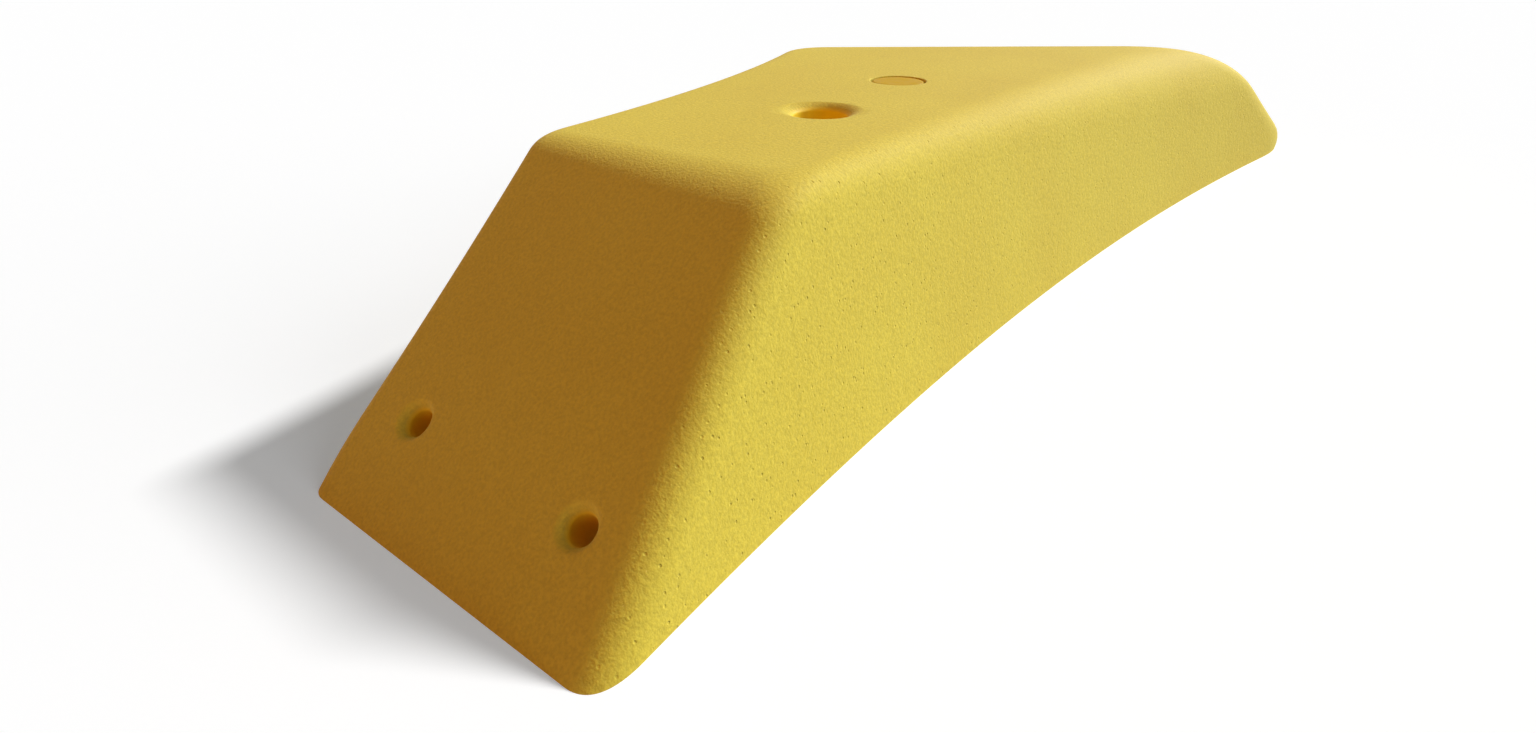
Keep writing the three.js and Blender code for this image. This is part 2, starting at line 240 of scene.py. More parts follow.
class NodeKind(Enum):
    """Shader nodes that the finishes are made of."""

    COORDINATES = "ShaderNodeTexCoord"
    ATTRIBUTE = "ShaderNodeAttribute"
    NOISE = "ShaderNodeTexNoise"
    CELLS = "ShaderNodeTexVoronoi"
    RANGE = "ShaderNodeMapRange"
    MATH = "ShaderNodeMath"
    MIX = "ShaderNodeMix"
    BUMP = "ShaderNodeBump"
    PRINCIPLED = "ShaderNodeBsdfPrincipled"
    OUTPUT = "ShaderNodeOutputMaterial"
    LIGHT_PATH = "ShaderNodeLightPath"
    EMISSION = "ShaderNodeEmission"
    ADD = "ShaderNodeAddShader"
    MIX_SHADER = "ShaderNodeMixShader"
    BACKGROUND = "ShaderNodeBackground"
    WORLD_OUTPUT = "ShaderNodeOutputWorld"


class Nodes:
    """One node tree, built up node by node.

    A value is a constant or another node's output. Lengths are in millimetres.
    """

    def __init__(self, owner: bpy.types.ID) -> None:
        """Empty the owner's tree.

        Args:
            owner: The material or the world that is built.
        """
        owner.use_nodes = True
        self.tree = owner.node_tree
        self.tree.nodes.clear()

    def add(self, kind: NodeKind, inputs: Optional[Dict] = None,
            **settings: object) -> bpy.types.Node:
        """Add one node with its settings, its constants and its links.

        Args:
            kind: Which node it is.
            inputs: For each socket, by name or number, its value.
            settings: The node's own properties.

        Returns:
            The new node.
        """
        node = self.tree.nodes.new(kind.value)
        for name, value in settings.items():
            setattr(node, name, value)
        for socket, value in (inputs or {}).items():
            if isinstance(value, Socket):
                self.tree.links.new(value, node.inputs[socket])
            else:
                node.inputs[socket].default_value = value
        return node

    def place(self) -> Socket:
        """Give the place on the piece itself."""
        return self.add(NodeKind.COORDINATES).outputs["Object"]

    def share(self, name: str) -> Socket:
        """Read one of the shares that the piece's vertices carry."""
        return self.add(NodeKind.ATTRIBUTE, attribute_name=name).outputs["Fac"]

    def math(self, operation: str, *values: Value) -> Socket:
        """Calculate with two or three values."""
        return self.add(NodeKind.MATH, dict(enumerate(values)), operation=operation).outputs[0]

    def noise(self, place: Socket, size: float, detail: float, roughness: float = 0.5) -> Socket:
        """Draw noise of one size over the piece."""
        inputs = {"Vector": place, "Scale": 1000 / size, "Detail": detail, "Roughness": roughness}
        return self.add(NodeKind.NOISE, inputs).outputs["Fac"]

    def spread(self, value: Socket, bounds: Pair, result: Pair = (0.0, 1.0),
               **settings: object) -> Socket:
        """Spread a value between two bounds over a new range.

        Args:
            value: What is spread.
            bounds: The lowest and the highest value that count.
            result: What those two give.
            settings: The node's own properties.

        Returns:
            The new value.
        """
        return self.add(NodeKind.RANGE, {
            "Value": value, "From Min": bounds[0], "From Max": bounds[1],
            "To Min": result[0], "To Max": result[1],
        }, **settings).outputs["Result"]

    def blend(self, share: Value, first: Value, second: Value, data_type: str = "RGBA",
              **settings: object) -> Socket:
        """Mix two colours, or two values of another type.

        Args:
            share: How much of the second there is.
            first: One colour.
            second: The other colour.
            data_type: What is mixed, as Blender names it.
            settings: The node's other properties.

        Returns:
            The mixture.
        """
        return self.add(NodeKind.MIX, {"Factor": share, "A": first, "B": second},
                        data_type=data_type, **settings).outputs["Result"]

    def bump(self, height: Socket, depth: float, inputs: Optional[Dict] = None,
             **settings: object) -> Socket:
        """Raise the skin.

        Args:
            height: How far each point is raised, as a share of the depth.
            depth: The full depth.
            inputs: The values of other sockets.
            settings: The node's own properties.

        Returns:
            The bumped normal.
        """
        return self.add(NodeKind.BUMP, {
            "Height": height, "Strength": 1.0, "Distance": depth * MM, **(inputs or {}),
        }, **settings).outputs["Normal"]

    def seen(self) -> Socket:
        """Tell what is seen, straight or in a reflection, from what only lights the matt skin.

        Returns:
            An output that is one for what is seen, and nought otherwise.
        """
        path = self.add(NodeKind.LIGHT_PATH)
        mirrored = self.math("MAXIMUM", path.outputs["Is Glossy Ray"],
                             path.outputs["Is Transmission Ray"])
        return self.math("MAXIMUM", mirrored, path.outputs["Is Camera Ray"])

    def shade(self, inputs: Dict[str, Value]) -> None:
        """End a material in a principled shader with these values."""
        shader = self.add(NodeKind.PRINCIPLED, inputs)
        self.add(NodeKind.OUTPUT, {"Surface": shader.outputs[0]})


@dataclass(frozen=True)
class CastPolyurethane:
    """Yellow polyurethane resin, cast in an open silicone mould.

    The mould's fine sandblasted grain gives a satin, slightly sandy skin with a faint white
    sheen at a grazing view. Small air bubbles at the steep sides leave pin holes there, and
    the resin is smooth where pins in the mould formed the recesses.
    """

    name: str = "Cast polyurethane, yellow"
    main: str = "CEBB3C"
    deep: str = "CAB538"
    # Colour of the lighter edge flecks: rubbing, and partly a painted highlight on the ridges
    worn_and_ridge_highlight: str = "DEC75A"
    # Painted light: a lighter, more saturated colour inside the recesses
    recess: str = "EECC20"
    roughness: Pair = (0.69, 0.79)
    gloss_level: float = 0.22
    recess_roughness: float = 0.55
    sheen: float = 0.05
    sheen_roughness: float = 0.6
    ior: float = 1.5
    # The real grit is finer than this, and is drawn as coarse as it needs to show
    grain_mm: float = 0.85
    fine_grain_mm: float = 0.5
    grain_depth_mm: float = 0.14
    # The steep sides have a coarser peel as well, which still shows at the far end
    peel_mm: float = 2.2
    peel_share: float = 1.2
    pit_spacing_mm: float = 2.3
    pit_width_mm: float = 0.95
    pit_depth_mm: float = 0.26
    cloud_mm: float = 60.0

    def build(self) -> bpy.types.Material:
        """Make the material with grain, pin holes, clouds, edge flecks partly a painted highlight,
        and painted light in recesses.

        Returns:
            The material.
        """
        material = bpy.data.materials.new(self.name)
        nodes = Nodes(material)
        place = nodes.place()
        recess = nodes.share("recess_share")
        grain = nodes.noise(place, self.grain_mm, detail=1.5, roughness=0.6)
        fine = nodes.noise(place, self.fine_grain_mm, detail=2.0)
        rough_skin = nodes.spread(fine, NOISE_BOUNDS, self.roughness)
        nodes.shade({
            "Base Color": self._colour(nodes, place, grain, fine, recess),
            "Roughness": nodes.blend(recess, rough_skin, self.recess_roughness, "FLOAT"),
            "Normal": self._relief(nodes, place, grain, fine, recess),
            "IOR": self.ior, "Specular IOR Level": self.gloss_level,
            "Sheen Weight": self.sheen, "Sheen Roughness": self.sheen_roughness,
        })
        return material

    def _colour(self, nodes: Nodes, place: Socket, grain: Socket, fine: Socket,
                recess: Socket) -> Socket:
        """Mix the resin's colour from clouds and specks, lighter edge flecks that are rubbing and
        partly a painted highlight, and painted light in the recesses.

        Args:
            nodes: The material's nodes.
            place: Where on the piece the point lies.
            grain: The sandy grain.
            fine: The finer grain.
            recess: How far inside a recess the point lies.

        Returns:
            The colour.
        """
        clouds = nodes.noise(place, self.cloud_mm, detail=3.0, roughness=0.55)
        colour = nodes.blend(nodes.spread(clouds, (0.35, 0.65)), linear(self.deep),
                             linear(self.main))
        specks = nodes.spread(grain, NOISE_BOUNDS, (0.9, 1.1))
        colour = nodes.blend(1.0, colour, specks, blend_type="MULTIPLY")
        # Tiny lighter flecks, only along the soft edges: rubbed spots, and partly a painted
        # highlight on the ridges
        rubs_and_glints = nodes.spread(fine, (0.68, 0.76))
        wear_and_ridge_highlight = nodes.math("MULTIPLY", rubs_and_glints, nodes.share("edge_share"))
        colour = nodes.blend(wear_and_ridge_highlight, colour, linear(self.worn_and_ridge_highlight))
        # Painted light: inside the recesses the colour turns lighter and more saturated, standing
        # in for the light that bounces round the holes
        return nodes.blend(recess, colour, linear(self.recess))

    def _relief(self, nodes: Nodes, place: Socket, grain: Socket, fine: Socket,
                recess: Socket) -> Socket:
        """Bump the skin with grain, and the steep sides with peel and pin holes as well.

        Args:
            nodes: The material's nodes.
            place: Where on the piece the point lies.
            grain: The sandy grain.
            fine: The finer grain.
            recess: How far inside a recess the point lies.

        Returns:
            The bumped normal.
        """
        bubbles = nodes.share("bubble_share")
        grit = nodes.math("MULTIPLY_ADD", fine, 0.4, grain)
        skin_height = nodes.math("MULTIPLY", grit, nodes.math("SUBTRACT", 1.0, recess))
        peel = nodes.noise(place, self.peel_mm, detail=1.0)
        peel_part = nodes.math("MULTIPLY", bubbles, self.peel_share)
        skin_height = nodes.math("MULTIPLY_ADD", peel, peel_part, skin_height)
        sandy = nodes.bump(skin_height, self.grain_depth_mm)
        cells = nodes.add(NodeKind.CELLS, {
            "Vector": place, "Scale": 1000 / self.pit_spacing_mm, "Randomness": 1.0,
        })
        # One in the middle of a cell, and only some of the cells have a hole
        pit_share = self.pit_width_mm / 2 / self.pit_spacing_mm
        holes = nodes.spread(cells.outputs["Distance"], (pit_share * 0.35, pit_share), (1.0, 0.0),
                             interpolation_type="SMOOTHSTEP")
        chosen = nodes.spread(cells.outputs["Color"], (0.3, 0.6))
        pits = nodes.math("MULTIPLY", nodes.math("MULTIPLY", holes, chosen), bubbles)
        return nodes.bump(pits, self.pit_depth_mm, {"Normal": sandy}, invert=True)


@dataclass(frozen=True)
class PouredResin:
    """Yellow resin of the badge, poured against a polished mould.

    Smoother than the body, with a tight soft gloss and hardly any grain.
    """

    name: str = "Poured resin, yellow"
    main: str = "C2A010"
    deep: str = "B8940C"
    roughness: Pair = (0.54, 0.66)
    gloss_level: float = 0.1
    ior: float = 1.5
    ripple_mm: float = 3.5
    ripple_depth_mm: float = 0.05

    def build(self) -> bpy.types.Material:
        """Make the material with its faint ripple.

        Returns:
            The material.
        """
        material = bpy.data.materials.new(self.name)
        nodes = Nodes(material)
        ripple = nodes.noise(nodes.place(), self.ripple_mm, detail=3.0)
        nodes.shade({
            "Base Color": nodes.blend(ripple, linear(self.deep), linear(self.main)),
            "Roughness": nodes.spread(ripple, NOISE_BOUNDS, self.roughness),
            "Normal": nodes.bump(ripple, self.ripple_depth_mm),
            "IOR": self.ior, "Specular IOR Level": self.gloss_level,
        })
        return material


@dataclass(frozen=True)
class ZincPlatedSteel:
    """Steel washers, punched from sheet and zinc plated.

    Bright grey metal with a faint cloudy bloom from the plating and fine marks of the tumbling
    that takes the burrs off.
    """

    name: str = "Zinc-plated steel"
    main: str = "C6C9CC"
    bloom: str = "A7ABB0"
    roughness: Pair = (0.24, 0.42)
    bloom_mm: float = 2.5
    mark_mm: float = 0.35
    mark_depth_mm: float = 0.01

    def build(self) -> bpy.types.Material:
        """Make the material with its bloom and tumbling marks.

        Returns:
            The material.
        """
        material = bpy.data.materials.new(self.name)
        nodes = Nodes(material)
        place = nodes.place()
        clouds = nodes.noise(place, self.bloom_mm, detail=3.0)
        marks = nodes.noise(place, self.mark_mm, detail=2.0)
        nodes.shade({
            "Base Color": nodes.blend(clouds, linear(self.bloom), linear(self.main)),
            "Metallic": 1.0,
            "Roughness": nodes.spread(clouds, NOISE_BOUNDS, self.roughness),
            "Normal": nodes.bump(marks, self.mark_depth_mm),
        })
        return material


@dataclass(frozen=True)
class PaintedFloor:
    """Matt white paint, rolled on a board, seen as plain white where the light falls.

    The paint has no gloss of its own. The lift is what camera and reflections see on top of
    the light, so that the floor is white and keeps the object's shadow.
    """

    name: str = "Matt white paint"
    main: str = "F2F2F2"
    roughness: float = 0.9
    lift: float = 0.23

    def build(self) -> bpy.types.Material:
        """Make the floor's material.

        Returns:
            The material.
        """
        material = bpy.data.materials.new(self.name)
        nodes = Nodes(material)
        paint = nodes.add(NodeKind.PRINCIPLED, {
            "Base Color": linear(self.main), "Roughness": self.roughness,
            "Specular IOR Level": 0.0,
        })
        glow = nodes.add(NodeKind.EMISSION, {
            "Color": WHITE, "Strength": nodes.math("MULTIPLY", nodes.seen(), self.lift),
        })
        both = nodes.add(NodeKind.ADD, {0: paint.outputs[0], 1: glow.outputs[0]})
        nodes.add(NodeKind.OUTPUT, {"Surface": both.outputs[0]})
        return material


@dataclass(frozen=True)
class Waist:
    """Hollow run of a long side: depth, deepest place and half length, in millimetres."""

    depth: float
    place: float
    half: float


@dataclass(frozen=True)
class SideFace:
    """One of the four side faces, by the foot edge that it stands on."""

    facing: float
    steepness: float
    reach: float
    waist: Optional[Waist] = None

    @property
    def out(self) -> Pair:
        """Way that the face looks, in the wall plane."""
        return math.cos(math.radians(self.facing)), math.sin(math.radians(self.facing))

    @property
    def normal(self) -> Vector:
        """Way that the face looks, square to it."""
        tilt = math.radians(self.steepness)
        across, along = self.out
        return Vector((across * math.sin(tilt), along * math.sin(tilt), math.cos(tilt)))

    def depth(self, points: Array) -> Array:
        """Find how far each point lies outside the face.

        Args:
            points: Rows of x, y and z in millimetres.

        Returns:
            The depths in millimetres.
        """
        out_x, out_y = self.out
        tilt = math.radians(self.steepness)
        reach = self.reach
        if self.waist:
            along = points[:, 1] * out_x - points[:, 0] * out_y
            part = (along - self.waist.place) / self.waist.half
            reach = self.reach - self.waist.depth * (1 - part ** 2)
        out = points[:, 0] * out_x + points[:, 1] * out_y
        return (out - reach) * math.sin(tilt) + points[:, 2] * math.cos(tilt)


class Side(Enum):
    """The four sides of the body."""

    NEAR = SideFace(172.6, 38.4, 103.5)
    RIGHT = SideFace(-97.2, 76.3, 90.6, Waist(16.3, 135.0, 243.0))
    FAR = SideFace(38.0, 58.0, 230.5)
    LEFT = SideFace(100.0, 89.2, 49.8, Waist(24.3, -86.4, 189.0))


def soften(first: Array, second: Array, softness: Array) -> Array:
    """Take the larger of two depths, with a soft change-over where they are nearly alike.

    Args:
        first: Depths outside one face.
        second: Depths outside the other face.
        softness: Difference of the depths at which the change-over starts.

    Returns:
        The depths outside both faces.
    """
    near = np.maximum(softness - np.abs(first - second), 0) / softness
    return np.maximum(first, second) + near ** 2 * softness / 4


@dataclass(frozen=True)
class BodyForm:
    """The casting's outer form about its ridge point, in millimetres.

    Points are rows of x, y and z. Depths are positive outside the form. Softness is the width
    over which two faces melt into each other.
    """

    ridge_height: float = 69.2
    fall_along: float = 0.028
    fall_across: float = 0.0142
    top_softness: float = 6.05
    top_growth: float = 0.0434
    top_loss_across: float = 0.0442
    least_softness: float = 1.0
    near_right_softness: float = 9.3
    far_left_softness: float = 12.5
    end_softness: Pair = (5.0, 18.2)
    end_change: Pair = (30.0, 216.0)
    foot_height: float = 13.3
    foot_growth: float = 0.72
    foot_loss: float = 0.08

    def top_height(self, along: Numbers, across: Numbers) -> Numbers:
        """Height of the top face above a point of the wall plane, or above many."""
        return self.ridge_height - self.fall_along * along - self.fall_across * across

    @property
    def top_normal(self) -> Vector:
        """Way that the top face looks."""
        return Vector((self.fall_along, self.fall_across, 1)).normalized()

    def top_depth(self, points: Array) -> Array:
        """Find how far each point lies above the top face."""
        height = self.top_height(points[:, 0], points[:, 1])
        return (points[:, 2] - height) / math.hypot(self.fall_along, self.fall_across, 1)

    def top_softness_at(self, points: Array) -> Array:
        """Find the width over which the top melts into the sides at each point."""
        softness = (self.top_softness + self.top_growth * points[:, 0]
                    - self.top_loss_across * points[:, 1])
        return np.maximum(softness, self.least_softness)

    def side_depth(self, points: Array) -> Array:
        """Find how far each point lies outside the four sides.

        The far right edge softens along the body. Near the foot that edge grows softer still,
        and the near right edge crisper.

        Args:
            points: Rows of x, y and z in millimetres.

        Returns:
            The depths in millimetres.
        """
        start, stop = self.end_change
        part = np.clip((points[:, 0] - start) / (stop - start), 0, 1)
        lowness = np.maximum(1 - points[:, 2] / self.foot_height, 0) ** 2
        softness = self.end_softness[0] + (self.end_softness[1] - self.end_softness[0]) * part
        softness = softness * (1 + self.foot_growth * lowness)
        near_right = soften(Side.NEAR.value.depth(points), Side.RIGHT.value.depth(points),
                            self.near_right_softness * (1 - self.foot_loss * lowness))
        far_left = soften(Side.FAR.value.depth(points), Side.LEFT.value.depth(points),
                          np.array(self.far_left_softness))
        return soften(near_right, far_left, softness)

    def depth(self, points: Array) -> Array:
        """Find how far each point lies outside the whole body."""
        return soften(self.top_depth(points), self.side_depth(points),
                      self.top_softness_at(points))

    def skin_height(self, along: float, across: float) -> float:
        """Find the skin's height above one point of the wall plane, by halving.

        Args:
            along: Place along the body.
            across: Place across the body.

        Returns:
            The height in millimetres.
        """
        low, high = 0.0, self.ridge_height * 2
        for _ in range(HALVINGS):
            middle = (low + high) / 2
            if self.depth(np.array([[along, across, middle]]))[0] < 0:
                low = middle
            else:
                high = middle
        return (low + high) / 2


def slopes(function: Callable[[Array], Array], points: Array, step: float = 0.001) -> Array:
    """Find the slope of a function at each point, by small steps along the three axes.

    Args:
        function: Gives one value for each row of points.
        points: Rows of x, y and z.
        step: Length of the small steps.

    Returns:
        For each point its slope along x, y and z.
    """
    columns = []
    for axis in range(3):
        shift = np.zeros(3)
        shift[axis] = step
        columns.append((function(points + shift) - function(points - shift)) / (2 * step))
    return np.stack(columns, axis=1)


@dataclass
class SkinBlock:
    """A six-sided block whose skin is drawn onto the body's form.

    Rows of faces lie closer together towards the block's edges, where the skin bends.
    """

    name: str
    form: BodyForm
    inset: float
    floor: float
    cuts: Tuple[Tuple[int, ...], Tuple[int, ...], Tuple[int, ...]]
    crowding: float = 0.72
    hub: Pair = (91.4, -20.4)
    start: Triple = (60.0, -20.0, 30.0)
    rounds: int = 14
    longest_step: float = 120.0

    def build(self) -> bpy.types.Object:
        """Add a cube, cut it into rows, and draw its vertices onto the form.

        Returns:
            A closed block in metres, still about the ridge point.
        """
        bpy.ops.object.select_all(action="DESELECT")
        bpy.ops.mesh.primitive_cube_add(size=1, location=(0.5, 0.5, 0.5))
        block = bpy.context.object
        block.name = self.name
        block.data.name = self.name
        settle(block)
        bpy.ops.object.mode_set(mode="EDIT")
        for axis, counts in enumerate(self.cuts):
            for count in counts:
                self._select(block, "EDGE", lambda edge, axis=axis: abs(
                    (edge.verts[1].co - edge.verts[0].co)[axis]) > ALIGNED * edge.calc_length())
                bpy.ops.mesh.subdivide(number_cuts=count)
        # The many faces of the underside become one
        self._select(block, "FACE", lambda face: face.normal.z < -ALIGNED)
        bpy.ops.mesh.delete(type="FACE")
        self._select(block, "EDGE", lambda edge: edge.is_boundary)
        bpy.ops.mesh.edge_face_add()
        bpy.ops.object.mode_set(mode="OBJECT")
        self._draw_onto_form(block)
        return block

    def _select(self, block: bpy.types.Object, kind: str, test: Callable[..., bool]) -> None:
        """Select the edges or the faces that pass a test.

        Args:
            block: The block, in edit mode.
            kind: EDGE or FACE, as Blender names them.
            test: Tells whether one edge or face is meant.
        """
        bpy.ops.mesh.select_mode(type=kind)
        bpy.ops.mesh.select_all(action="DESELECT")
        mesh = bmesh.from_edit_mesh(block.data)
        mesh.normal_update()
        for item in mesh.edges if kind == "EDGE" else mesh.faces:
            item.select_set(test(item))
        bmesh.update_edit_mesh(block.data)

    def _draw_onto_form(self, block: bpy.types.Object) -> None:
        """Move each vertex to its share of the way between opposite faces, then onto the skin.

        Args:
            block: The cut cube, with sides of one metre.
        """
        form, inset = self.form, self.inset
        unit = get_points(block)
        crowd = unit - self.crowding * np.sin(2 * np.pi * unit) / (2 * np.pi)
        # Only the upper edge of the sides bends, so the rows crowd there and not at the foot
        crowd[:, 2] = unit[:, 2] + self.crowding * np.sin(np.pi * unit[:, 2]) / np.pi
        near, right, far, left = (side.value for side in Side)
        pairs = (
            (lambda p: near.depth(p) + inset, lambda p: far.depth(p) + inset),
            (lambda p: right.depth(p) + inset, lambda p: left.depth(p) + inset),
            (lambda p: self.floor - p[:, 2], lambda p: form.top_depth(p) + inset),
        )
        points = np.tile(np.array([self.start]), (len(unit), 1))
        for _ in range(self.rounds):
            misses, rows = [], []
            for axis, (first, second) in enumerate(pairs):
                share = crowd[:, axis]

                def balance(p: Array, share: Array = share, first: Callable = first,
                            second: Callable = second) -> Array:
                    return (1 - share) * first(p) - share * second(p)

                misses.append(balance(points))
                rows.append(slopes(balance, points))
            matrix = np.stack(rows, axis=1)
            step = np.linalg.solve(matrix, -np.stack(misses, axis=1)[..., None])[..., 0]
            points = points + np.clip(step, -self.longest_step, self.longest_step)
        # The sharp corners come in towards the hub until they meet the soft skin
        hub = np.array([*self.hub, self.floor])
        low, high = np.zeros(len(unit)), np.ones(len(unit))
        for _ in range(HALVINGS):
            middle = (low + high) / 2
            inside = form.depth(hub + (points - hub) * middle[:, None]) + inset < 0
            low = np.where(inside, middle, low)
            high = np.where(inside, high, middle)
        points = hub + (points - hub) * low[:, None]
        points[unit[:, 2] < 1e-6, 2] = self.floor
        set_points(block, points * MM)


@dataclass(frozen=True)
class Recess:
    """A round recess with a straight bore below it and a soft dish round its mouth.

    All heights are measured along the axis from its foot, in millimetres.
    """

    foot: Vector
    way: Vector
    surface: float
    floor: float
    radius: float
    lip_width: float
    lip_depth: float
    bore_radius: float
    bore_end: float
    rim_round: float
    lip_power: float
    sides: int
    lip_steps: int = 12
    rim_steps: int = 5
    overlap: float = 0.8
    rise: float = 0.25
    proud: float = 2.5

    def cutter(self, name: str) -> bpy.types.Object:
        """Make the turned solid that cuts the recess and its bore.

        Args:
            name: Name of the new object.

        Returns:
            The cutter, which stands a little way out of the skin.
        """
        outline: List[Pair] = [
            (0, self.bore_end), (self.bore_radius, self.bore_end),
            (self.bore_radius, self.floor), (self.radius, self.floor),
        ]
        outline += self._rim()
        outer = self.radius + self.lip_width
        outline += [(outer + self.overlap, self.surface + self.rise),
                    (outer + self.overlap, self.surface + self.proud),
                    (0, self.surface + self.proud)]
        return turn_profile(name, outline, self.sides, self.foot, self.way)

    def _rim(self) -> List[Pair]:
        """Draw the outline from the recess's wall over the rounded rim and out along the dish.

        Returns:
            Radius and height of each point.
        """
        points: List[Pair] = []
        for step in range(self.lip_steps + 1):
            share = 1 - step / self.lip_steps
            points.append((self.radius + self.lip_width * (1 - share),
                           self.surface - self.lip_depth * share ** self.lip_power))
        # The sharp corner between wall and dish gets a small rounding, as a smooth curve that
        # leaves the wall upwards and meets the dish a little further out
        corner = Vector(points[0])
        start = corner - Vector((0, self.rim_round))
        beyond = [Vector(point) for point in points
                  if (Vector(point) - corner).length > self.rim_round]
        stop = corner + (beyond[0] - corner).normalized() * self.rim_round
        curve = []
        for step in range(self.rim_steps + 1):
            part = step / self.rim_steps
            point = (start * (1 - part) ** 2 + corner * 2 * part * (1 - part) + stop * part ** 2)
            curve.append((point.x, point.y))
        return curve + [(point.x, point.y) for point in beyond]


class ScrewSeat(Enum):
    """Each screw hole: its side face, how far in from the foot edge, and where along it."""

    NEAR_LEFT = (Side.NEAR, 21.4, 2.2)
    NEAR_RIGHT = (Side.NEAR, 20.3, 63.7)
    FAR_LEFT = (Side.FAR, 17.0, -142.0)
    FAR_RIGHT = (Side.FAR, 17.0, -262.0)


@dataclass
class Casting:
    """The hollow casting with its recesses: the body of the volume."""

    form: BodyForm = field(default_factory=BodyForm)
    cuts: Tuple[Tuple[int, ...], ...] = ((99, 1), (85,), (37,))
    wall: float = 8.0
    hollow_cuts: Tuple[Tuple[int, ...], ...] = ((60,), (30,), (12,))
    hollow_crowding: float = 0.4
    hollow_voxel: float = 1.9
    hollow_floor: float = -6.0
    rib_thickness: float = 6.0
    rib_setback: float = 2.0
    rib_height: float = 80.0
    rib_length: float = 500.0
    far_rib_place: float = 190.0
    bolt_place: Pair = (61.2, -23.1)
    bolt_radius: float = 8.7
    bolt_lip: Pair = (6.3, 2.4)
    bolt_seat: float = 28.0
    bolt_bore_radius: float = 5.5
    bolt_post_wall: float = 8.0
    bolt_post_span: Pair = (-10.0, 75.0)
    screw_radius: float = 3.6
    screw_lip: Pair = (2.6, 2.4)
    screw_depth: float = 13.0
    screw_bore_radius: float = 2.25
    screw_post_wall: float = 6.0
    screw_post_proud: float = 40.0
    post_sides: int = 64
    badge_place: Pair = (124.2, -21.1)
    badge_pocket_radius: float = 10.3
    badge_pocket_depth: float = 2.55
    badge_pocket_round: float = 0.5
    badge_pocket_rise: float = 0.05
    badge_pocket_proud: float = 1.5
    # How far the lighter edge flecks (rubbing and a painted highlight), the painted light in the
    # recesses and the pin holes reach, in shares or millimetres
    edge_reach: float = 1.4
    recess_reach: float = 0.25
    bubble_reach: float = 7.0
    skin_depth: float = 1.5

    @property
    def bolt_foot(self) -> Vector:
        """Foot of the bolt's axis, about the ridge point."""
        return Vector((*self.bolt_place, 0))

    @property
    def badge_foot(self) -> Vector:
        """Middle of the badge's place on the top face, in the part's frame."""
        return Vector((*self.badge_place, self.form.top_height(*self.badge_place))) + RIDGE_PLACE

    def screw_mouths(self) -> Dict[str, Tuple[Vector, Vector]]:
        """Work out the mouth and the outward way of each screw hole, about the ridge point.

        Returns:
            For each hole's name its mouth in millimetres and its way.
        """
        mouths = {}
        for seat in ScrewSeat:
            side, setback, place = seat.value
            face = side.value
            out_x, out_y = face.out
            out = face.reach - setback
            x, y = out_x * out - out_y * place, out_y * out + out_x * place
            mouths[seat.name.lower()] = (Vector((x, y, self.form.skin_height(x, y))), face.normal)
        return mouths

    def bolt_recess(self) -> Recess:
        """Describe the recess for the bolt's head, straight down from the top face.

        Returns:
            The recess in the part's frame.
        """
        return Recess(
            foot=self.bolt_foot + RIDGE_PLACE, way=UP,
            surface=self.form.top_height(*self.bolt_place), floor=self.bolt_seat,
            radius=self.bolt_radius, lip_width=self.bolt_lip[0], lip_depth=self.bolt_lip[1],
            bore_radius=self.bolt_bore_radius, bore_end=-BORE_PROUD, rim_round=0.5,
            lip_power=2.2, sides=128,
        )

    def screw_recess(self, mouth: Vector, way: Vector) -> Recess:
        """Describe the recess of one screw, square to the face that it lies in.

        Args:
            mouth: The middle of its mouth about the ridge point.
            way: The way that its face looks.

        Returns:
            The recess in the part's frame.
        """
        return Recess(
            foot=mouth + RIDGE_PLACE, way=way, surface=0.0, floor=-self.screw_depth,
            radius=self.screw_radius, lip_width=self.screw_lip[0], lip_depth=self.screw_lip[1],
            bore_radius=self.screw_bore_radius, bore_end=-(mouth.z + BORE_PROUD) / way.z,
            rim_round=0.3, lip_power=2.0, sides=72,
        )

    def build(self, material: bpy.types.Material) -> bpy.types.Object:
        """Model the casting and dress it.

        Args:
            material: The resin's material.

        Returns:
            The finished body.
        """
        body = SkinBlock("body_casting", self.form, 0.0, 0.0, self.cuts).build()
        hollow = self._hollow()
        cutters = [hollow]
        for piece in (body, hollow):
            piece.location = RIDGE_PLACE * MM
            settle(piece)
        cutters.append(self.bolt_recess().cutter("bolt_cutter"))
        for name, (mouth, way) in self.screw_mouths().items():
            cutters.append(self.screw_recess(mouth, way).cutter(f"screw_cutter_{name}"))
        cutters.append(self._badge_pocket())
        self._cut(body, join_pieces(cutters))
        self._mark_skin(body)
        finish_piece(body, material, "body_shell")
        return body

    def _cut(self, body: bpy.types.Object, cutter: bpy.types.Object) -> None:
        """Take one solid away from another and delete it."""
        apply_modifier(body, "BOOLEAN", operation="DIFFERENCE", solver="EXACT", object=cutter)
        bpy.data.objects.remove(cutter)

